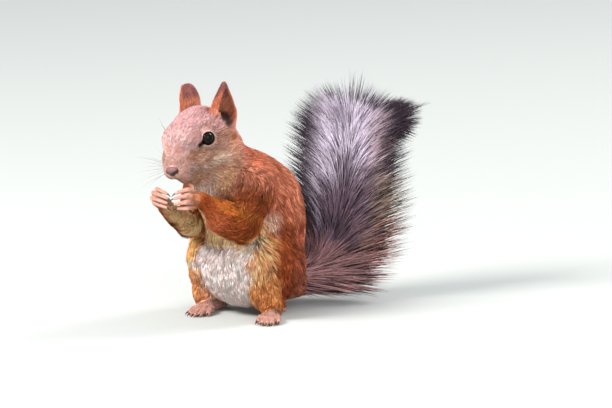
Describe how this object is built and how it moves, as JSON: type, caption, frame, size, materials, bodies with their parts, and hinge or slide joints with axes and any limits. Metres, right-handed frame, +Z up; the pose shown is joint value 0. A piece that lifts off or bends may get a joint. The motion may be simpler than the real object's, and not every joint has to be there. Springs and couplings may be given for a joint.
{
  "type": "squirrel figure",
  "caption": "Life-size red squirrel sitting up on its haunches with both forepaws raised to its mouth and its bushy tail held up behind.",
  "frame": {"origin": "on the floor, under the middle of the bounding box", "axes": "+Z up, the animal faces -Y, its left side is towards +X"},
  "size_m": [0.0958, 0.2108, 0.1618],
  "materials": {
    "coat_rust": "soft fur",
    "coat_pale": "soft fur",
    "brush_grey": "long hair",
    "paw_skin": "matte",
    "nose_skin": "moist",
    "eye_black": "wet gloss"
  },
  "bodies": {
    "root": {"head": "coat_rust", "neck": "coat_rust", "chest": "coat_rust", "haunches": "coat_pale", "ear_left": "coat_rust", "ear_right": "coat_rust", "upper_arm_left": "coat_rust", "upper_arm_right": "coat_rust", "forearm_left": "coat_rust", "forearm_right": "coat_rust", "hand_left": "paw_skin", "hand_right": "paw_skin", "thigh_left": "coat_rust", "thigh_right": "coat_rust", "shank_left": "coat_rust", "shank_right": "coat_rust", "foot_left": "paw_skin", "foot_right": "paw_skin", "tail_base": "brush_grey", "tail_middle": "brush_grey", "tail_tip": "brush_grey", "eye_left": "eye_black", "eye_right": "eye_black", "nose": "nose_skin"}
  },
  "joints": []
}
